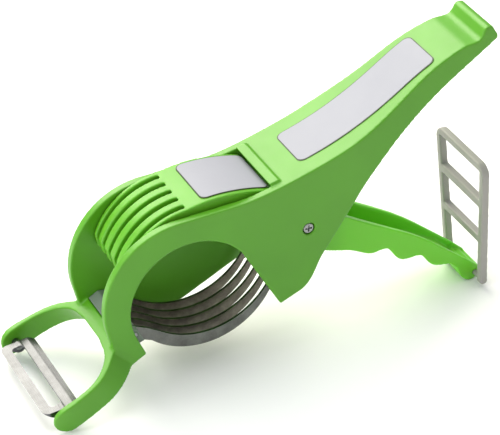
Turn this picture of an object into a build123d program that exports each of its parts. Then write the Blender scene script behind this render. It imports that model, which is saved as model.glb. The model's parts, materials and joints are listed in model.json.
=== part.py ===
"""Hand-held vegetable dicer with a Y-shaped peeler at its front.

Every profile is drawn in the tool's own side view: u runs along the tool, from the peeler (negative)
to the handle's tail (positive), and v runs up, square to it. The whole tool then stands pitched, with the
end of its squeeze lever on the floor and its peeler yoke a millimetre above it.
Millimetres. +Z is up, +X points to the handle's tail, and -Y is the side with the round opening.
"""

from build123d import *

import os
from math import cos, radians, sin

os.makedirs("parts", exist_ok=True)

# ---------------------------------------------------------------- driving dimensions
PITCH = 43.0  # how far the tool's long axis leans up when it stands
STAND_X = 15.65  # where the side view's origin lies over the floor
STAND_Z = 62.5
FIT = 0.05  # radial clearance of every turning fit

HALF_WIDTH = 21.8  # outer face of each cheek
INNER = 17.8  # inner face of each cheek
SKIN = 2.6  # top skin of the handle
LIP_U = 5.2  # front edge of the handle's top skin
TOP_LINE = [(-8.8, 36.4), (17.1, 20.6), (36.0, 11.8), (66.9, 3.1), (88.7, -1.2), (103.0, -6.9)]
OUTER_PLAN = [(36.0, 21.8), (66.9, 18.8), (98.0, 15.7), (119.0, 13.8)]  # handle half-width along u
INNER_PLAN = [(36.0, 17.8), (66.9, 16.0), (98.0, 13.0), (119.0, 11.2)]
ARCH_FRONT = (-88.1, 45.0)
ARCH_TOP = (-55.5, 64.6)
ARCH_REAR = (-30.2, 55.0)
OPENING_TOP = (-54.4, 51.2)
OPENING_REAR = (-25.5, 17.5)
OPENING_FRONT = (-82.4, 31.7)
NOSE_HEEL = (-85.7, 22.8)  # lowest point of the nose, behind the yoke
TOE = (-34.5, -16.9)  # front lower corner of the pivot housing
FAR_TOE = (-35.2, -13.6)  # where the closed cheek starts

PIVOT = (0.0, -1.5)
SCREW_R = 1.5
SCREW_HEAD_R = 2.5
HEAD_T = 1.4
HEAD_FILLET_R = 0.5
CROSS_LENGTH = 3.2
CROSS_WIDTH = 0.8
CROSS_DEPTH = 0.9
SCREW_POCKET_R = 2.9
SCREW_POCKET = 2.0
NUT_FLATS = 5.5
NUT_T = 2.4
BUSH_R = 3.5
HUB_R = 9.5

BLADES = 5
BLADE_PITCH = 6.83
BLADE_T = 1.3
BLADE_OUTER = (-44.0, 22.7)  # centre of a blade's lower arc
BLADE_OUTER_R = 37.2
BLADE_INNER = (-39.8, 25.8)  # centre of its cutting arc
BLADE_INNER_R = 36.5
FRONT_ROD = (-82.2, 31.0)
FRONT_ROD_R = 1.0
REAR_ROD = (-24.5, -14.0)
REAR_ROD_R = 1.5
EAR_R = 3.5
SPACER_R = 2.6

JAW_HALF = 17.1
SLOT = 2.6
JAW_BACK_ENDS = ((0.85, -0.5), (0.5, -0.85))  # end directions of the jaw's back
LEVER_LEAN = -76.0  # direction of the open lever, seen from the pivot
LEVER_PLAN = [(8.0, 12.1), (38.0, 12.1), (75.0, 10.9), (98.0, 10.2), (106.0, 9.6), (109.3, 8.3), (111.0, 5.6)]
TROUGH_HALF = 8.8
TROUGH_END_HALF = 7.6

SPRING_R = 5.6
SPRING_WIRE_R = 0.6
SPRING_TURNS = 4.25
SPRING_START_LEG = 11.5
SPRING_END_LEG = 19.0
SPRING_START_Y = -10.6
SPRING_END_Y = -15.9
POCKET_R = 7.6
PEG = (18.0, 6.9)
PEG_R = 2.0

YOKE_OUTER = [(-133.0, 32.6), (-124.8, 34.7), (-112.4, 34.0), (-105.2, 32.2), (-98.7, 28.2), (-92.7, 22.2)]
YOKE_INNER = [(-134.0, 31.2), (-120.5, 31.7), (-111.2, 31.0), (-106.7, 29.6), (-100.7, 25.5), (-96.3, 18.7),
              (-94.4, 8.0)]
PEELER_HINGE = (-125.5, 41.3)
PEELER_PIN_R = 1.6
PEELER_PIN_LENGTH = 6.2
PEELER_EAR_R = 3.0
YOKE_BORE_HALF = 33.6  # blind end of the pin holes in the yoke's arms
PEELER_SLOT_HALF = 24.3
PEELER_EAR_Y = 28.0  # outer face of the blade's bent ends
PEELER_T = 0.8

LOOP_HINGE = (26.5, -105.1)
LOOP_LEAN = 49.1
LOOP_LENGTH = 64.1
LOOP_FOOT = 17.9  # outer half-width at the hinge
LOOP_HEAD = 22.3  # outer half-width at the free end
LOOP_RAIL = 3.4
LOOP_T = 3.5
LOOP_EYE_R = 1.9
LOOP_EYE_SKIN = 0.8  # wall left outside the end of the hinge pin
LOOP_PIN_R = 1.2
LEVER_END_R = 3.7
LOOP_HEAD_BAR = 3.4  # width of the bar at the free end
LOOP_CORNER_R = 5.2
LOOP_PIN_GAP = 0.1  # end play of the hinge pin in its blind bores
RUNGS = [(23.0, 3.6), (43.0, 3.9)]  # distance from the loop's hinge, width

LABEL_T = 0.4
LABEL_CORNER_R = 3.0
HANDLE_LABEL = (70.5, 24.4)  # length, width
JAW_LABEL = (31.5, 29.5)


# ---------------------------------------------------------------- places in the side view
def place(u, v, y=0.0):
    """World position of the side-view point (u, v) at depth y."""
    c = cos(radians(PITCH))
    s = sin(radians(PITCH))
    return (STAND_X + u * c - v * s, y, STAND_Z + u * s + v * c)


def side(y=0.0, at=(0.0, 0.0), turn=0.0):
    """Side-view plane at depth y, its normal towards -Y, with its origin at a side-view point."""
    lean = radians(PITCH + turn)
    return Plane(origin=place(at[0], at[1], y), x_dir=(cos(lean), 0, sin(lean)), z_dir=(0, -1, 0))


def plan(at=(0.0, 0.0), turn=0.0):
    """Plane seen from above: its x runs along the tool turned by `turn`, its y along +Y."""
    lean = radians(PITCH + turn)
    up = (-sin(lean), 0, cos(lean))
    return Plane(origin=place(at[0], at[1]), x_dir=(cos(lean), 0, sin(lean)), z_dir=up)


def polar(centre, radius, angle):
    """Side-view point at a radius and an angle in degrees around a centre."""
    return (centre[0] + radius * cos(radians(angle)), centre[1] + radius * sin(radians(angle)))


def shifted(points, du, dv):
    return [(u + du, v + dv) for u, v in points]


def mirrored(points):
    """The same half-width stations on the other side of the tool."""
    return [(u, -w) for u, w in points]


def top_curve(lift=0.0):
    """The handle's upper line, raised by lift."""
    return Spline(*shifted(TOP_LINE, 0.0, lift), tangents=((0.78, -0.63), (0.9, -0.45)))


def width_outline(stations, front):
    """Plan outline as wide as the stations, with straight sides from u = front to the first one."""
    far = Spline(*stations, tangents=((1, 0), (0.99, -0.08)))
    near = Spline(*mirrored(stations), tangents=((1, 0), (0.99, 0.08)))
    Polyline(far @ 0, (front, stations[0][1]), (front, -stations[0][1]), near @ 0)
    Line(far @ 1, near @ 1)


def blade_depths():
    return [BLADE_PITCH * (k - (BLADES - 1) / 2) for k in range(BLADES)]


def save(part, name):
    part.label = name
    export_step(part, "parts/" + name + ".step")


# ---------------------------------------------------------------- main frame
# Space between the cheeks and under the handle's skin.
with BuildPart() as hollow:
    with BuildSketch(side()):
        with BuildLine():
            roof = top_curve(-SKIN)
            Polyline(roof @ 1, (108.4, -14.4), (114.6, -14.8), (114.6, -60), (-140, -60), (-140, 90),
                     (-30, 90),
                     roof @ 0)
        make_face()
        with BuildLine():
            Polyline((-60, 60), (-60, 95), (LIP_U, 95), (LIP_U, 0), (-60, 0), close=True)
        make_face()
    extrude(amount=HALF_WIDTH, both=True)
    with BuildSketch(plan((0, -120))):
        with BuildLine():
            width_outline(INNER_PLAN, -140)
        make_face()
    extrude(amount=260, mode=Mode.INTERSECT)

# Forked yoke that carries the peeler.
with BuildPart() as yoke:
    with BuildSketch(side()):
        with BuildLine():
            above = Spline((-125.2, 47.7), (-119.7, 46.2), (-105.2, 41.0), (-91.0, 37.4),
                           tangents=((1.0, -0.1), (0.97, -0.25)))
            below = Spline((-90.0, 24.6), (-95.4, 26.2), (-101.4, 28.2), (-108.2, 30.2), (-119.8, 34.2),
                           (-127.2, 35.9),
                           tangents=((-0.95, 0.2), (-1.0, 0.12)))
            Line(above @ 1, below @ 0)
            ThreePointArc(below @ 1, (-132.0, 41.4), above @ 0)
        make_face()
    extrude(amount=45, both=True)
    with BuildSketch(plan((0, -60))):
        with BuildLine():
            far = Spline(*YOKE_OUTER, tangents=((1, 0.3), (0.7, -0.7)))
            near = Spline(*mirrored(YOKE_OUTER), tangents=((1, -0.3), (0.7, 0.7)))
            Polyline(far @ 0, (-140, 32), (-140, -32), near @ 0)
            Polyline(far @ 1, (-90, 21.8), (-90, -21.8), near @ 1)
        make_face()
        with BuildLine():
            inner_far = Spline(*YOKE_INNER, tangents=((1, 0.1), (0.2, -1)))
            inner_near = Spline(*mirrored(YOKE_INNER), tangents=((1, -0.1), (0.2, 1)))
            Polyline(inner_far @ 0, (-141, 31.2), (-141, -31.2), inner_near @ 0)
            Line(inner_far @ 1, inner_near @ 1)
        make_face(mode=Mode.SUBTRACT)
    extrude(amount=200, mode=Mode.INTERSECT)

# Cheeks, handle and tail.
with BuildPart() as main_frame:
    with BuildSketch(side()):
        with BuildLine():
            Line(TOE, FAR_TOE)
            under = Line(FAR_TOE, (-63.6, -4.8))
            curl = Spline(under @ 1, (-76.8, 6.5), NOSE_HEEL, tangents=((-0.95, 0.30), (-0.2, 0.98)))
            Polyline(NOSE_HEEL, (-94.6, 25.0), (-92.4, 37.6), ARCH_FRONT)
            arch = ThreePointArc(ARCH_FRONT, ARCH_TOP, ARCH_REAR)
            Line(arch @ 1, TOP_LINE[0])
            top_curve()
            valley = Spline(TOP_LINE[-1], (107.0, -9.9), (110.6, -12.0), (114.0, -11.1),
                            tangents=((0.9, -0.45), (0.95, 0.3)))
            ridge = ThreePointArc(valley @ 1, (117.2, -11.4), (118.3, -13.4))
            Polyline(ridge @ 1, (117.1, -18.2), (115.8, -19.2))
            belly = Spline((115.8, -19.2), (88.0, -12.6), (66.0, -9.0), (46.0, -8.0), (22.7, -11.2),
                           tangents=((-0.98, 0.2), (-0.95, -0.25)))
            Line(belly @ 1, (-6.8, -17.2))
            lobe = Spline((-6.8, -17.2), (-18.0, -21.0), (-24.6, -20.7),
                          tangents=((-0.95, -0.3), (-0.93, 0.36)))
            Line(lobe @ 1, TOE)
        make_face()
    extrude(amount=HALF_WIDTH, both=True)
    with BuildSketch(plan((0, -120))):
        with BuildLine():
            width_outline(OUTER_PLAN, -140)
        make_face()
    extrude(amount=260, mode=Mode.INTERSECT)
    add(hollow.part, mode=Mode.SUBTRACT)
    # bridge across the nose
    with BuildSketch(side()):
        with BuildLine():
            Polyline((-88.0, 37.0), (-92.4, 37.6), (-95.4, 33.8), (-97.0, 28.3), (-95.4, 25.3), NOSE_HEEL,
                     (-84.4, 26.2), (-86.6, 31.0), close=True)
        make_face()
    extrude(amount=HALF_WIDTH, both=True)
    add(yoke.part)
    # round opening, in the near cheek only
    with BuildSketch(side()):
        with BuildLine():
            mouth = ThreePointArc(OPENING_REAR, OPENING_TOP, OPENING_FRONT)
            Polyline(mouth @ 1, NOSE_HEEL, (-86.2, 20.5), (-80.0, -40.0), (-40.4, -40.0), mouth @ 0)
        make_face()
    extrude(amount=HALF_WIDTH + 1, mode=Mode.SUBTRACT)
    # raised rib along the front edge of the handle's skin
    with BuildSketch(side()):
        with BuildLine():
            Polyline((LIP_U, 25.2), (LIP_U, 28.4), (LIP_U + 4.2, 26.1), (LIP_U + 4.2, 24.0), close=True)
        make_face()
    extrude(amount=INNER, both=True)
    # peg that holds one end of the return spring
    with BuildSketch(side(-INNER - 0.5, PEG)):
        Circle(PEG_R)
    extrude(amount=-(INNER + 0.5 + SPRING_END_Y + 1.4))
    # pivot bore with the pockets of the screw head and the nut
    with BuildSketch(side(0, PIVOT)):
        Circle(SCREW_R + FIT)
    extrude(amount=HALF_WIDTH + 1, both=True, mode=Mode.SUBTRACT)
    with BuildSketch(side(-HALF_WIDTH - 1, PIVOT)):
        Circle(SCREW_POCKET_R)
    extrude(amount=-1 - SCREW_POCKET, mode=Mode.SUBTRACT)
    with BuildSketch(side(HALF_WIDTH + 1, PIVOT)):
        RegularPolygon(NUT_FLATS / 2 + FIT, 6, major_radius=False)
    extrude(amount=1 + NUT_T + 0.3, mode=Mode.SUBTRACT)
    # blind holes for the rear blade rod
    with BuildSketch(side(0, REAR_ROD)):
        Circle(REAR_ROD_R + FIT)
    extrude(amount=INNER + 2.0, both=True, mode=Mode.SUBTRACT)
    # blind holes for the peeler's pins
    with BuildSketch(side(0, PEELER_HINGE)):
        Circle(PEELER_PIN_R + FIT)
    extrude(amount=YOKE_BORE_HALF, both=True, mode=Mode.SUBTRACT)
save(main_frame.part, "main_frame")

# ---------------------------------------------------------------- presser lever
# Squeeze lever: a channel open towards the handle.
with BuildPart() as grip:
    with BuildSketch(side()):
        with BuildLine():
            rim = Spline((12.5, -21.5), (18.3, -41.7), (24.4, -63.2), (28.6, -92.0), (29.9, -104.0),
                         tangents=((0.28, -1), (0.05, -1)))
            tip = ThreePointArc(rim @ 1, polar(LOOP_HINGE, LEVER_END_R, -60), (23.6, -107.4))
            waves = Spline(tip @ 1, (21.0, -101.0), (22.4, -96.1), (23.1, -90.0), (18.7, -83.4),
                           (17.6, -78.2), (18.3, -72.2), (12.0, -65.0), (11.0, -60.0), (11.7, -52.9),
                           (5.9, -47.4), (3.2, -41.3), (1.3, -36.2))
            Polyline(waves @ 1, (-5.0, -25.5), (-9.0, -4.0), (9.2, -4.0), (11.6, -17.0), rim @ 0)
        make_face()
    extrude(amount=15, both=True)
    with BuildSketch(plan(PIVOT, LEVER_LEAN)):
        with BuildLine():
            width_outline(LEVER_PLAN, -10)
        make_face()
    extrude(amount=60, both=True, mode=Mode.INTERSECT)
    # trough
    with BuildSketch(side()):
        with BuildLine():
            Polyline((40.0, -19.0), (9.0, -19.0), (5.2, -36.0), (13.9, -54.0), (20.4, -73.0), (25.0, -89.0),
                     (25.8, -99.5), (60.0, -99.5), close=True)
        make_face()
    extrude(amount=TROUGH_HALF, both=True, mode=Mode.SUBTRACT)
    # shallow end of the trough, above the latch's axle
    with BuildSketch(side()):
        with BuildLine():
            Polyline((27.0, -98.0), (27.2, -101.4), (28.8, -103.2), (28.9, -106.2), (60.0, -106.2),
                     (60.0, -98.0), close=True)
        make_face()
    extrude(amount=TROUGH_END_HALF, both=True, mode=Mode.SUBTRACT)

with BuildPart() as presser_lever:
    # jaw
    with BuildSketch(side()):
        with BuildLine():
            crown = ThreePointArc((-61.7, 57.6), (-43.6, 61.1), (-24.6, 53.6))
            back = Spline(crown @ 1, (-16.4, 48.3), (-6.1, 38.6), (3.4, 25.4), tangents=JAW_BACK_ENDS)
            Polyline(back @ 1, (3.4, 20.0), (9.3, -1.0), (-9.3, -3.0), (-24.8, 24.0))
            inside = ThreePointArc((-24.8, 24.0), (-45.0, 50.4), (-64.3, 50.1))
            Polyline(inside @ 1, (-65.0, 52.4), crown @ 0)
        make_face()
    extrude(amount=JAW_HALF, both=True)
    # slots between the six fingers
    for y in blade_depths():
        with BuildSketch(side(y)):
            with BuildLine():
                Polyline((-24.3, 70.0), (-24.3, 50.0), (-18.5, 20.0), (-18.5, 0.0), (-80.0, 0.0),
                         (-80.0, 70.0), close=True)
            make_face()
        extrude(amount=SLOT / 2, both=True, mode=Mode.SUBTRACT)
    # hub
    with BuildSketch(side(0, PIVOT)):
        Circle(HUB_R)
    extrude(amount=JAW_HALF, both=True)
    # squeeze lever
    add(grip.part)
    with BuildSketch(side(0, PIVOT)):
        Circle(BUSH_R + FIT)
    extrude(amount=JAW_HALF + 1, both=True, mode=Mode.SUBTRACT)
    # pocket for the spring's coil and grooves for its two ends
    with BuildSketch(side(-JAW_HALF - 1, PIVOT)):
        Circle(POCKET_R)
    extrude(amount=-1 - (JAW_HALF + SPRING_START_Y + 1.0), mode=Mode.SUBTRACT)
    with BuildSketch(side(-JAW_HALF - 1, PIVOT)):
        with BuildLine():
            Polyline((0, 0), polar((0, 0), 30, 62), polar((0, 0), 30, -40), close=True)
        make_face()
    extrude(amount=-1 - 2.4, mode=Mode.SUBTRACT)
    with BuildSketch(side(SPRING_START_Y, (PIVOT[0] - SPRING_R, PIVOT[1] - 6.5))):
        Rectangle(1.6, 13.6)
    extrude(amount=1.0, both=True, mode=Mode.SUBTRACT)
    # bore for the latch pin
    with BuildSketch(side(0, LOOP_HINGE)):
        Circle(LOOP_PIN_R + FIT)
    extrude(amount=JAW_HALF, both=True, mode=Mode.SUBTRACT)
save(presser_lever.part, "presser_lever")

# ---------------------------------------------------------------- slicing blades
for number, depth in enumerate(blade_depths(), start=1):
    with BuildPart() as slicing_blade:
        with BuildSketch(side(depth)):
            with BuildLine():
                edge = ThreePointArc(polar(BLADE_INNER, BLADE_INNER_R, 191),
                                     polar(BLADE_INNER, BLADE_INNER_R, 245),
                                     polar(BLADE_INNER, BLADE_INNER_R, 290))
                spine = ThreePointArc(polar(BLADE_OUTER, BLADE_OUTER_R, 289),
                                      polar(BLADE_OUTER, BLADE_OUTER_R, 240),
                                      polar(BLADE_OUTER, BLADE_OUTER_R, 185))
                Polyline(edge @ 1, (-22.4, -11.2), (-27.4, -16.0), spine @ 0)
                Polyline(spine @ 1, (-82.9, 23.6), (-84.2, 27.0), (-84.4, 33.2), (-80.4, 32.6), (-77.6, 26.0),
                         edge @ 0)
            make_face()
            with Locations(REAR_ROD):
                Circle(EAR_R)
            with Locations(REAR_ROD):
                Circle(REAR_ROD_R + FIT, mode=Mode.SUBTRACT)
            with Locations(FRONT_ROD):
                Circle(FRONT_ROD_R + FIT, mode=Mode.SUBTRACT)
        extrude(amount=BLADE_T / 2, both=True)
    save(slicing_blade.part, "slicing_blade_" + str(number))

# ---------------------------------------------------------------- blade carrier
with BuildPart() as blade_carrier:
    with BuildSketch(side()):
        with BuildLine():
            Polyline((-87.7, 36.8), (-82.5, 35.6), (-79.7, 32.0), (-82.0, 25.4), (-84.2, 26.5), (-86.3, 31.0),
                     close=True)
        make_face()
    extrude(amount=INNER, both=True)
    for y in blade_depths():
        with BuildSketch(side(y)):
            with BuildLine():
                Polyline((-85.0, 20.0), (-85.0, 33.8), (-79.0, 33.0), (-70.0, 20.0), close=True)
            make_face()
        extrude(amount=BLADE_T / 2 + FIT, both=True, mode=Mode.SUBTRACT)
    with BuildSketch(side(0, FRONT_ROD)):
        Circle(FRONT_ROD_R + FIT)
    extrude(amount=INNER, both=True, mode=Mode.SUBTRACT)
save(blade_carrier.part, "blade_carrier")

# ---------------------------------------------------------------- rods and spacers of the blade pack
with BuildPart() as front_rod:
    with BuildSketch(side(0, FRONT_ROD)):
        Circle(FRONT_ROD_R)
    extrude(amount=INNER - 0.1, both=True)
save(front_rod.part, "blade_front_rod")

with BuildPart() as rear_rod:
    with BuildSketch(side(0, REAR_ROD)):
        Circle(REAR_ROD_R)
    extrude(amount=INNER + 1.8, both=True)
save(rear_rod.part, "blade_rear_rod")

with BuildPart() as blade_spacers:
    stack_edges = [-INNER] + blade_depths() + [INNER]
    for left, right in zip(stack_edges[:-1], stack_edges[1:]):
        start = left + (0 if left == -INNER else BLADE_T / 2)
        end = right - (0 if right == INNER else BLADE_T / 2)
        with BuildSketch(side(end, REAR_ROD)):
            Circle(SPACER_R)
            Circle(REAR_ROD_R + FIT, mode=Mode.SUBTRACT)
        extrude(amount=end - start)
save(blade_spacers.part, "blade_spacers")

# ---------------------------------------------------------------- pivot hardware
with BuildPart() as pivot_screw:
    with BuildSketch(side(-HALF_WIDTH + SCREW_POCKET, PIVOT)):
        Circle(SCREW_HEAD_R)
    extrude(amount=HEAD_T)
    fillet(pivot_screw.faces().sort_by(Axis.Y)[0].edges(), HEAD_FILLET_R)
    with BuildSketch(side(-HALF_WIDTH + SCREW_POCKET, PIVOT)):
        Circle(SCREW_R)
    extrude(amount=-(2 * HALF_WIDTH - SCREW_POCKET - 0.4))
    with BuildSketch(side(-HALF_WIDTH + SCREW_POCKET - HEAD_T, PIVOT)):
        for turn in (45, 135):
            with Locations(Location((0, 0), turn)):
                Rectangle(CROSS_LENGTH, CROSS_WIDTH)
    extrude(amount=-CROSS_DEPTH, mode=Mode.SUBTRACT)
save(pivot_screw.part, "pivot_screw")

with BuildPart() as pivot_nut:
    with BuildSketch(side(HALF_WIDTH - 0.3, PIVOT)):
        RegularPolygon(NUT_FLATS / 2, 6, major_radius=False)
        Circle(SCREW_R + FIT, mode=Mode.SUBTRACT)
    extrude(amount=NUT_T)
save(pivot_nut.part, "pivot_nut")

with BuildPart() as pivot_bush:
    with BuildSketch(side(0, PIVOT)):
        Circle(BUSH_R)
        Circle(SCREW_R + FIT, mode=Mode.SUBTRACT)
    extrude(amount=INNER, both=True)
save(pivot_bush.part, "pivot_bush")

# ---------------------------------------------------------------- return spring
SPRING_RISE = SPRING_START_Y - SPRING_END_Y
with BuildPart() as upright_spring:
    with BuildLine() as wire:
        coil = Helix(pitch=SPRING_RISE / SPRING_TURNS, height=SPRING_RISE, radius=SPRING_R, lefthand=True)
        start_leg = Line(coil @ 0 - (coil % 0) * SPRING_START_LEG, coil @ 0)
        end_leg = Line(coil @ 1, coil @ 1 + (coil % 1) * SPRING_END_LEG)
    with BuildSketch(Plane(origin=start_leg @ 0, z_dir=start_leg % 0)):
        Circle(SPRING_WIRE_R)
    sweep(path=wire.wires()[0])
with BuildPart() as return_spring:
    with Locations(side(SPRING_START_Y, PIVOT, 180).location):
        add(upright_spring.part)
save(return_spring.part, "return_spring")

# ---------------------------------------------------------------- peeler blade and its pins
with BuildPart() as peeler_blade:
    # sheet with its two ends bent down to the pins
    with BuildSketch(side()):
        with BuildLine():
            ThreePointArc((-131.2, 48.9), (-124.6, 44.0), (-117.7, 39.5))
            Polyline((-117.7, 39.5), (-122.2, 39.4), (-125.5, 38.3), (-128.2, 40.0), (-131.2, 48.9))
        make_face()
        with Locations(PEELER_HINGE):
            Circle(PEELER_EAR_R)
    extrude(amount=PEELER_EAR_Y, both=True)
    with BuildSketch(side()):
        with BuildLine():
            ThreePointArc((-131.6, 48.1), (-125.1, 43.3), (-118.1, 38.6))
            Polyline((-118.1, 38.6), (-118.1, 20.0), (-140.0, 20.0), (-131.6, 48.1))
        make_face()
    extrude(amount=PEELER_EAR_Y - PEELER_T, both=True, mode=Mode.SUBTRACT)
    # slot between the two bars
    with BuildSketch(plan((-125.5, 44.4), -37)):
        RectangleRounded(5.8, 2 * PEELER_SLOT_HALF, 2.0)
    extrude(amount=6, both=True, mode=Mode.SUBTRACT)
    with BuildSketch(side(0, PEELER_HINGE)):
        Circle(PEELER_PIN_R)
    extrude(amount=PEELER_EAR_Y, both=True, mode=Mode.SUBTRACT)
save(peeler_blade.part, "peeler_blade")

with BuildPart() as peeler_pins:
    for turn in (1, -1):
        with BuildSketch(side(turn * (PEELER_EAR_Y - PEELER_T), PEELER_HINGE)):
            Circle(PEELER_PIN_R)
        extrude(amount=-turn * PEELER_PIN_LENGTH)
save(peeler_pins.part, "peeler_pins")

# ---------------------------------------------------------------- latch pin and latch loop
with BuildPart() as latch_pin:
    with BuildSketch(side(0, LOOP_HINGE)):
        Circle(LOOP_PIN_R)
    extrude(amount=LOOP_FOOT - LOOP_EYE_SKIN - LOOP_PIN_GAP, both=True)
save(latch_pin.part, "latch_pin")


def loop_half(distance):
    """The loop's outer half-width at a distance from its hinge."""
    return LOOP_FOOT + (LOOP_HEAD - LOOP_FOOT) * distance / LOOP_LENGTH


with BuildPart() as latch_loop:
    with BuildSketch(plan(LOOP_HINGE, LOOP_LEAN)):
        with BuildLine():
            Polyline((0, LOOP_FOOT), (LOOP_LENGTH, LOOP_HEAD), (LOOP_LENGTH, -LOOP_HEAD), (0, -LOOP_FOOT),
                     close=True)
        make_face()
        stops = [(-1.0, 0.0)] + RUNGS + [(LOOP_LENGTH - LOOP_HEAD_BAR / 2, LOOP_HEAD_BAR)]
        for (here, here_w), (there, there_w) in zip(stops[:-1], stops[1:]):
            low = here + here_w / 2
            high = there - there_w / 2
            low_half = loop_half(low) - LOOP_RAIL
            high_half = loop_half(high) - LOOP_RAIL
            with BuildLine():
                Polyline((low, low_half), (high, high_half), (high, -high_half), (low, -low_half), close=True)
            make_face(mode=Mode.SUBTRACT)
    extrude(amount=LOOP_T / 2, both=True)
    normal = plan(LOOP_HINGE, LOOP_LEAN).z_dir
    outer_edges = latch_loop.edges().filter_by(lambda e: abs((e @ 0.5).Y) > LOOP_HEAD - 0.1)
    fillet(outer_edges.filter_by(lambda e: abs((e % 0.5).dot(normal)) > 0.99), LOOP_CORNER_R)
    for start in (-(LOOP_FOOT - LOOP_RAIL), LOOP_FOOT):
        with BuildSketch(side(start, LOOP_HINGE)):
            Circle(LOOP_EYE_R)
        extrude(amount=LOOP_RAIL)
    with BuildSketch(side(0, LOOP_HINGE)):
        Circle(LOOP_PIN_R + FIT)
    extrude(amount=LOOP_FOOT - LOOP_EYE_SKIN, both=True, mode=Mode.SUBTRACT)
save(latch_loop.part, "latch_loop")

# ---------------------------------------------------------------- label plates
with BuildPart() as handle_label:
    with BuildSketch(side()):
        with BuildLine():
            low = top_curve()
            high = top_curve(LABEL_T)
            Line(low @ 0, high @ 0)
            Line(low @ 1, high @ 1)
        make_face()
    extrude(amount=HALF_WIDTH, both=True)
    with BuildSketch(plan((0, -60), 0)):
        with Locations((55.7, 0)):
            RectangleRounded(*HANDLE_LABEL, LABEL_CORNER_R)
    extrude(amount=200, mode=Mode.INTERSECT)
save(handle_label.part, "handle_label")

with BuildPart() as jaw_label:
    with BuildSketch(side()):
        with BuildLine():
            low = Spline((-24.6, 53.6), (-16.4, 48.3), (-6.1, 38.6), (3.4, 25.4), tangents=JAW_BACK_ENDS)
            high = Spline((-24.3, 54.0), (-16.1, 48.7), (-5.7, 38.9), (3.8, 25.6), tangents=JAW_BACK_ENDS)
            Line(low @ 0, high @ 0)
            Line(low @ 1, high @ 1)
        make_face()
    extrude(amount=JAW_HALF, both=True)
    with BuildSketch(plan((-6, 38), -45)):
        with Locations((0.2, 0)):
            RectangleRounded(*JAW_LABEL, LABEL_CORNER_R)
    extrude(amount=40, both=True, mode=Mode.INTERSECT)
save(jaw_label.part, "jaw_label")
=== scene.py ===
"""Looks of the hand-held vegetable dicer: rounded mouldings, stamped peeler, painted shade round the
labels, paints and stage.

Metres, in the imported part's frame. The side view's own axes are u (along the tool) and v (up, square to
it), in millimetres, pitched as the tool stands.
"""
import json
from math import cos, radians, sin

import bmesh
import bpy
from mathutils import Matrix, Vector


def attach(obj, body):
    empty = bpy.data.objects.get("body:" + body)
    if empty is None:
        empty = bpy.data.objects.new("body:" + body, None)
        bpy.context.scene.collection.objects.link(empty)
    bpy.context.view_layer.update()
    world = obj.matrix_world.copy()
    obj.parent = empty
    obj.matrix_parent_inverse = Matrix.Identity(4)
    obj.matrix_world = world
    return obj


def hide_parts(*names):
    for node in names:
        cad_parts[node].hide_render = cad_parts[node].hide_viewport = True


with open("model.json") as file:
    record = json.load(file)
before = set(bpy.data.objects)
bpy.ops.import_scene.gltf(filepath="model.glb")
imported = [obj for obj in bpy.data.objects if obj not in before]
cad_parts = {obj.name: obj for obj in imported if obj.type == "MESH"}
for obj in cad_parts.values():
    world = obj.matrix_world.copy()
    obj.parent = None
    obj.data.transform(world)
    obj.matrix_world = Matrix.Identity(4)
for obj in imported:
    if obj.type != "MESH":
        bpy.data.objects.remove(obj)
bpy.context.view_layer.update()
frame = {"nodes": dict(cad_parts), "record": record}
nodes = frame["nodes"]

PITCH = radians(43.0)
STAND = (15.65, 62.5)  # the side view's origin over the floor, in millimetres

MOULDING_CELL = 0.00045  # voxel size of the two large mouldings
SMALL_CELL = 0.0003
KEPT_FACES = 0.35  # share of a rounded mesh's faces that is kept

PEELER_MIDDLE = (-124.4, 44.2)  # middle of the peeler's sheet in the side view
PEELER_LEAN = -37
PEELER_FOLD = 0.0052  # from the sheet's middle to the fold of its rear bar
PEELER_FOLD_SLOPE = 0.28


def place(u, v, y=0.0):
    """Row-frame position in metres of a side-view point in millimetres."""
    c, s = cos(PITCH), sin(PITCH)
    return Vector(((STAND[0] + u * c - v * s) / 1000, y / 1000, (STAND[1] + u * s + v * c) / 1000))


# ---------------------------------------------------------------- paints
# sockets of a colour Mix node
MIX_SHARE, MIX_FIRST, MIX_SECOND = 0, 6, 7
MIX_RESULT = 2


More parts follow.
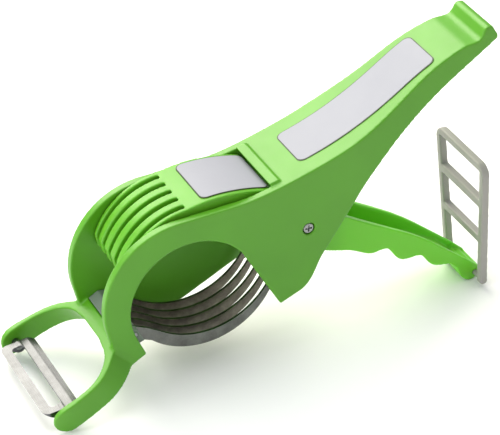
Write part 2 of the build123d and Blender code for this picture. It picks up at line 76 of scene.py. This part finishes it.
class Paint:
    """A node material with short names for the nodes that these paints share."""

    def __init__(self, name):
        self.material = bpy.data.materials.new(name)
        self.material.use_nodes = True
        self.tree = self.material.node_tree
        self.tree.nodes.clear()
        self.out = self.node("ShaderNodeOutputMaterial")
        self.shader = self.node("ShaderNodeBsdfPrincipled")
        self.link(self.shader, "BSDF", self.out, "Surface")
        self.coords = self.node("ShaderNodeTexCoord")

    def node(self, kind, **values):
        made = self.tree.nodes.new(kind)
        for key, value in values.items():
            setattr(made, key, value)
        return made

    def link(self, a, a_socket, b, b_socket):
        self.tree.links.new(a.outputs[a_socket], b.inputs[b_socket])

    def noise(self, scale, detail=3.0, rough=0.55, stretch=None):
        texture = self.node("ShaderNodeTexNoise")
        texture.inputs["Scale"].default_value = scale
        texture.inputs["Detail"].default_value = detail
        texture.inputs["Roughness"].default_value = rough
        if stretch:
            mapping = self.node("ShaderNodeMapping")
            mapping.inputs["Rotation"].default_value = (0, PITCH, 0)
            mapping.inputs["Scale"].default_value = stretch
            self.link(self.coords, "Object", mapping, "Vector")
            self.link(mapping, "Vector", texture, "Vector")
        else:
            self.link(self.coords, "Object", texture, "Vector")
        return texture

    def ramp(self, source, socket, stops):
        ramp = self.node("ShaderNodeValToRGB")
        self.link(source, socket, ramp, "Fac")
        elements = ramp.color_ramp.elements
        while len(elements) < len(stops):
            elements.new(0.5)
        for element, (at, colour) in zip(elements, stops):
            element.position = at
            element.color = (*colour, 1)
        return ramp

    def mix(self, share, first, second, blend="MIX"):
        """Socket of two colour sockets mixed by a fixed share."""
        made = self.node("ShaderNodeMix", data_type="RGBA", blend_type=blend)
        made.inputs[MIX_SHARE].default_value = share
        self.tree.links.new(first, made.inputs[MIX_FIRST])
        self.tree.links.new(second, made.inputs[MIX_SECOND])
        return made.outputs[MIX_RESULT]

    def gloss(self, source, low, high):
        """Lets a 0 to 1 texture run the roughness from low to high."""
        span = self.node("ShaderNodeMapRange")
        span.inputs["To Min"].default_value = low
        span.inputs["To Max"].default_value = high
        self.link(source, "Fac", span, "Value")
        self.link(span, "Result", self.shader, "Roughness")

    def relief(self, source, strength, depth):
        """Lets a texture raise and lower the surface by a depth in metres."""
        made = self.node("ShaderNodeBump")
        made.inputs["Strength"].default_value = strength
        made.inputs["Distance"].default_value = depth
        self.link(source, "Fac", made, "Height")
        self.link(made, "Normal", self.shader, "Normal")

    def brighter_along_x(self, colour, start, end, bright):
        """Socket of a colour that turns into a bright one along +X, between two stations in metres."""
        split = self.node("ShaderNodeSeparateXYZ")
        self.link(self.coords, "Object", split, "Vector")
        reach = self.node("ShaderNodeMapRange")
        reach.inputs["From Min"].default_value = start
        reach.inputs["From Max"].default_value = end
        self.link(split, "X", reach, "Value")
        made = self.node("ShaderNodeMix", data_type="RGBA")
        self.tree.links.new(reach.outputs["Result"], made.inputs[MIX_SHARE])
        self.tree.links.new(colour, made.inputs[MIX_FIRST])
        made.inputs[MIX_SECOND].default_value = (*bright, 1)
        return made.outputs[MIX_RESULT]


def grey(value):
    return (value, value, value)


def plastic(name, base, rough, mottled=0.05, bump=0.05, sss=0.0, nook_shade=0.5, thin=None):
    """Moulded plastic: slow shifts of tint, fine orange-peel, uneven gloss and painted shade in the nooks.
    """
    p = Paint(name)
    dark = tuple(c * (1 - mottled) for c in base)
    light = tuple(min(1, c * (1 + mottled)) for c in base)
    colour = p.ramp(p.noise(scale=28), "Fac", [(0.3, dark), (0.7, light)]).outputs["Color"]
    if thin:
        # a stand-in for light that comes through thin walls
        colour = p.brighter_along_x(colour, *thin)
    # painted shade: the colour is darkened where ambient occlusion finds nooks, recesses and joins between
    # parts
    nook = p.node("ShaderNodeAmbientOcclusion")
    nook.inputs["Distance"].default_value = 0.004
    painted_nook_shade = p.ramp(nook, "AO", [(0.0, tuple(c * (1 - 0.35 * nook_shade) for c in base)), (0.75, grey(1))])
    nook_shaded = p.mix(nook_shade, colour, painted_nook_shade.outputs["Color"], blend="MULTIPLY")
    p.tree.links.new(nook_shaded, p.shader.inputs["Base Color"])
    p.gloss(p.noise(scale=160, detail=6, rough=0.7), rough - 0.07, rough + 0.11)
    p.relief(p.noise(scale=2200, detail=2, rough=0.5), bump, depth=0.0002)
    p.shader.inputs["IOR"].default_value = 1.5
    if sss:
        p.shader.inputs["Subsurface Weight"].default_value = sss
        p.shader.inputs["Subsurface Radius"].default_value = (0.0012, 0.0024, 0.0005)
        p.shader.inputs["Subsurface Scale"].default_value = 1.0
    return p.material


def steel(name, base, rough, grain, stain=0.25):
    """Rolled or turned steel: fine grain along one way, faint stains, uneven polish."""
    p = Paint(name)
    streaks = p.noise(scale=900, detail=4, rough=0.6, stretch=grain)
    stains = p.noise(scale=130, detail=8, rough=0.7)
    worn = tuple(c * (1 - stain) for c in base)
    tint = p.ramp(stains, "Fac", [(0.35, worn), (0.65, base)])
    streak_tint = p.ramp(streaks, "Fac", [(0.3, grey(0.82)), (0.7, grey(1))])
    streaked = p.mix(0.8, tint.outputs["Color"], streak_tint.outputs["Color"], blend="MULTIPLY")
    p.tree.links.new(streaked, p.shader.inputs["Base Color"])
    p.shader.inputs["Metallic"].default_value = 1.0
    p.gloss(streaks, rough - 0.08, rough + 0.12)
    p.relief(streaks, strength=0.08, depth=0.0001)
    return p.material


PAINT = {
    "green_plastic": plastic("green_plastic", (0.084, 0.318, 0.008), 0.38, sss=0.05),
    "light_green_plastic": plastic("light_green_plastic", (0.105, 0.375, 0.010), 0.40, sss=0.5, nook_shade=0.25,
                                   thin=(0.015, 0.040, (0.150, 0.580, 0.014))),
    "grey_plastic": plastic("grey_plastic", (0.17, 0.215, 0.175), 0.42, bump=0.08),
    "white_plastic": plastic("white_plastic", (0.32, 0.315, 0.29), 0.42, sss=0.1, mottled=0.03),
    "enamelled_steel": plastic("enamelled_steel", (0.31, 0.305, 0.275), 0.35, mottled=0.03),
    "label_film": plastic("label_film", (0.325, 0.33, 0.375), 0.60, mottled=0.02, bump=0.02),
    # painted shade: a dark colour for the shadowed gap round the labels
    "label_gap_shade": plastic("label_gap_shade", (0.035, 0.06, 0.02), 0.5),
    "blade_steel": steel("blade_steel", (0.235, 0.215, 0.18), 0.38, grain=(0.3, 4, 4), stain=0.5),
    "clean_blade": steel("clean_blade", (0.22, 0.225, 0.21), 0.36, grain=(0.3, 4, 4), stain=0.4),
    "peeler_steel": steel("peeler_steel", (0.150, 0.152, 0.166), 0.26, grain=(6, 0.2, 6)),
    "bright_steel": steel("bright_steel", (0.36, 0.37, 0.37), 0.30, grain=(2, 2, 2)),
    "spring_steel": steel("spring_steel", (0.36, 0.36, 0.35), 0.35, grain=(3, 3, 3)),
}


def paint(obj, slot):
    obj.data.materials.clear()
    obj.data.materials.append(PAINT[slot])


for sub in frame["record"]["subparts"]:
    paint(nodes[sub["node"]], sub["material_slot"])
# the nearest blade is wiped cleaner than the others
paint(nodes["slicing_blade_1"], "clean_blade")


# ---------------------------------------------------------------- rounded mouldings
def modify(obj, kind, **settings):
    modifier = obj.modifiers.new(kind.lower(), kind)
    for key, value in settings.items():
        setattr(modifier, key, value)


def bake(obj):
    """Replaces an object's mesh by its modified mesh."""
    graph = bpy.context.evaluated_depsgraph_get()
    mesh = bpy.data.meshes.new_from_object(obj.evaluated_get(graph))
    obj.modifiers.clear()
    obj.data = mesh


def rounded(node, name, body, slot, cell, rounds, swell=0.0):
    """A moulded piece with soft edges in place of a CAD node.

    More smoothing rounds give rounder edges, and swell gives back what they take off a thin piece.
    """
    obj = bpy.data.objects.new(name, nodes[node].data.copy())
    bpy.context.scene.collection.objects.link(obj)
    modify(obj, "REMESH", mode="VOXEL", voxel_size=cell, use_smooth_shade=True)
    modify(obj, "SMOOTH", factor=0.5, iterations=rounds)
    if swell:
        modify(obj, "DISPLACE", strength=swell, mid_level=0.0)
    modify(obj, "DECIMATE", ratio=KEPT_FACES)
    bake(obj)
    for polygon in obj.data.polygons:
        polygon.use_smooth = True
    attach(obj, body)
    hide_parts(node)
    paint(obj, slot)


rounded("main_frame", "frame_moulding", "frame", "green_plastic", MOULDING_CELL, rounds=4)
rounded("presser_lever", "lever_moulding", "lever", "light_green_plastic", MOULDING_CELL, rounds=4)
rounded("latch_loop", "latch_moulding", "latch", "white_plastic", SMALL_CELL, rounds=16, swell=0.00012)
rounded("blade_carrier", "carrier_moulding", "frame", "grey_plastic", SMALL_CELL, rounds=2)


# ---------------------------------------------------------------- stamped peeler
def sheet_axes(lean):
    """Directions along and out of a surface that leans in the side view by so many degrees."""
    angle = PITCH + radians(lean)
    return Vector((cos(angle), 0, sin(angle))), Vector((-sin(angle), 0, cos(angle)))


def corner_trimmed(obj, centre, lean, length, width, radius, steps=6, reach=0.02):
    """Cuts a sheet's four outer corners to a radius, seen square to the sheet."""
    along, out = sheet_axes(lean)
    outline = []
    for quarter in range(4):
        side_u = 1 if quarter in (0, 3) else -1
        side_y = 1 if quarter in (0, 1) else -1
        for step in range(steps + 1):
            turn = radians(90 * quarter + 90 / steps * step)
            outline.append(centre + along * (side_u * (length / 2 - radius) + radius * cos(turn))
                           + Vector((0, side_y * (width / 2 - radius) + radius * sin(turn), 0)))
    count = len(outline)
    corners = [p - out * reach for p in outline] + [p + out * reach for p in outline]
    faces = [tuple(range(count))[::-1], tuple(range(count, 2 * count))]
    faces += [(k, (k + 1) % count, (k + 1) % count + count, k + count) for k in range(count)]
    mesh = bpy.data.meshes.new("trim")
    mesh.from_pydata(corners, [], faces)
    trim = bpy.data.objects.new("trim", mesh)
    bpy.context.scene.collection.objects.link(trim)
    modify(obj, "BOOLEAN", operation="INTERSECT", solver="EXACT", object=trim)
    bake(obj)
    bpy.data.objects.remove(trim)


def creased(obj, centre, lean, at, slope):
    """Folds a sheet down beyond a line across it, `at` metres along the sheet from its centre."""
    along, out = sheet_axes(lean)
    mesh = bmesh.new()
    mesh.from_mesh(obj.data)
    bmesh.ops.bisect_plane(mesh, geom=mesh.verts[:] + mesh.edges[:] + mesh.faces[:],
                           plane_co=centre + along * at, plane_no=along)
    for vertex in mesh.verts:
        beyond = (vertex.co - centre).dot(along) - at
        if beyond > 0:
            vertex.co -= out * (beyond * slope)
    mesh.to_mesh(obj.data)
    mesh.free()


def peeler_sheet():
    """The peeler blade with rounded corners, eased edges and a fold along its rear bar."""
    obj = bpy.data.objects.new("peeler_stamping", nodes["peeler_blade"].data.copy())
    bpy.context.scene.collection.objects.link(obj)
    middle = place(*PEELER_MIDDLE)
    corner_trimmed(obj, middle, PEELER_LEAN, length=0.0165, width=0.0560, radius=0.0036)
    creased(obj, middle, PEELER_LEAN, PEELER_FOLD, PEELER_FOLD_SLOPE)
    modify(obj, "BEVEL", width=0.0002, segments=2, limit_method="ANGLE", angle_limit=radians(40))
    bake(obj)
    for polygon in obj.data.polygons:
        polygon.use_smooth = True
    obj.data.set_sharp_from_angle(angle=radians(12))
    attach(obj, "peeler")
    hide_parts("peeler_blade")
    paint(obj, "peeler_steel")


peeler_sheet()


# ---------------------------------------------------------------- painted shade round the labels
def gap_shade_ring(node, name, body, lean, gap, sink):
    """A dark ring of painted shade for the shadowed gap round a label: the label's own shape, a little
    larger and set lower.
    """
    obj = bpy.data.objects.new(name, nodes[node].data.copy())
    bpy.context.scene.collection.objects.link(obj)
    along, out = sheet_axes(lean)
    spans = [v.co.dot(along) for v in obj.data.vertices]
    middle = (min(spans) + max(spans)) / 2
    half_length = (max(spans) - min(spans)) / 2
    half_width = max(v.co.y for v in obj.data.vertices)
    for vertex in obj.data.vertices:
        reach = vertex.co.dot(along) - middle
        vertex.co += along * (reach / half_length * gap) - out * sink
        vertex.co.y *= 1 + gap / half_width
    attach(obj, body)
    # painted shade: this dark ring stands in for the shadow in the gap round the label
    paint(obj, "label_gap_shade")


gap_shade_ring("handle_label", "handle_label_gap_shade", "frame", -17, gap=0.00046, sink=0.00009)
gap_shade_ring("jaw_label", "jaw_label_gap_shade", "lever", -45, gap=0.00036, sink=0.00012)

# ---------------------------------------------------------------- floor and light
def pale_floor(size):
    """A matt sheet of off-white paper under the tool."""
    bpy.ops.mesh.primitive_plane_add(size=size, location=(0, 0, 0))
    floor = bpy.context.object
    floor.name = "floor"
    p = Paint("floor_paper")
    tone = p.ramp(p.noise(scale=3, detail=2), "Fac", [(0.3, grey(0.90)), (0.7, grey(0.93))])
    p.link(tone, "Color", p.shader, "Base Color")
    p.shader.inputs["Roughness"].default_value = 0.8
    floor.data.materials.append(p.material)


def room_light(low, high, full_height):
    """A white room that is dim at the horizon and brighter from full_height (0 to 1) upwards."""
    world = bpy.data.worlds.new("studio")
    bpy.context.scene.world = world
    world.use_nodes = True
    sky = world.node_tree
    where = sky.nodes.new("ShaderNodeTexCoord")
    height = sky.nodes.new("ShaderNodeSeparateXYZ")
    glow = sky.nodes.new("ShaderNodeMapRange")
    glow.inputs["From Min"].default_value = 0.0
    glow.inputs["From Max"].default_value = full_height
    glow.inputs["To Min"].default_value = low
    glow.inputs["To Max"].default_value = high
    sky.links.new(where.outputs["Generated"], height.inputs["Vector"])
    sky.links.new(height.outputs["Z"], glow.inputs["Value"])
    sky.links.new(glow.outputs["Result"], sky.nodes["Background"].inputs["Strength"])
    sky.nodes["Background"].inputs["Color"].default_value = (1.0, 1.0, 1.0, 1)


def lamp(name, at, aim, size, power, tint=(1, 1, 1)):
    """A round soft light; its size is in metres and its power in watts."""
    data = bpy.data.lights.new(name, "AREA")
    data.shape = "DISK"
    data.size = size
    data.energy = power
    data.color = tint
    obj = bpy.data.objects.new(name, data)
    bpy.context.scene.collection.objects.link(obj)
    obj.location = at
    obj.rotation_mode = "QUATERNION"
    obj.rotation_quaternion = (Vector(aim) - Vector(at)).to_track_quat("-Z", "Y")


pale_floor(size=8)
room_light(low=0.28, high=0.85, full_height=0.8)
lamp("top_light", at=(-0.1, 0.2, 1.2), aim=(0, 0, 0.06), size=0.8, power=5)
lamp("back_light", at=(-0.12, 1.2, 0.95), aim=(0.03, 0, 0.08), size=1.3, power=25, tint=(1.0, 0.96, 0.80))
lamp("front_light", at=(-1.35, -0.20, 0.65), aim=(0, 0, 0.05), size=0.8, power=10.5)

# ---------------------------------------------------------------- camera
CAMERA_AT = Vector((-0.38885, -0.8827, 0.6766))
CAMERA_RIGHT = Vector((0.9074, -0.4200, -0.0317))  # the camera's own directions in the part's frame
CAMERA_DOWN = Vector((-0.2509, -0.4780, -0.8425))

camera_data = bpy.data.cameras.new("camera")
camera_data.lens = 187.2
camera_data.sensor_width = 36.0
camera_data.clip_start = 0.01
camera_data.clip_end = 20
camera = bpy.data.objects.new("camera", camera_data)
bpy.context.scene.collection.objects.link(camera)
turn = Matrix((CAMERA_RIGHT, -CAMERA_DOWN, -CAMERA_RIGHT.cross(CAMERA_DOWN))).transposed().to_4x4()
camera.matrix_world = Matrix.Translation(CAMERA_AT) @ turn
bpy.context.scene.camera = camera
bpy.context.scene.view_settings.view_transform = "Standard"
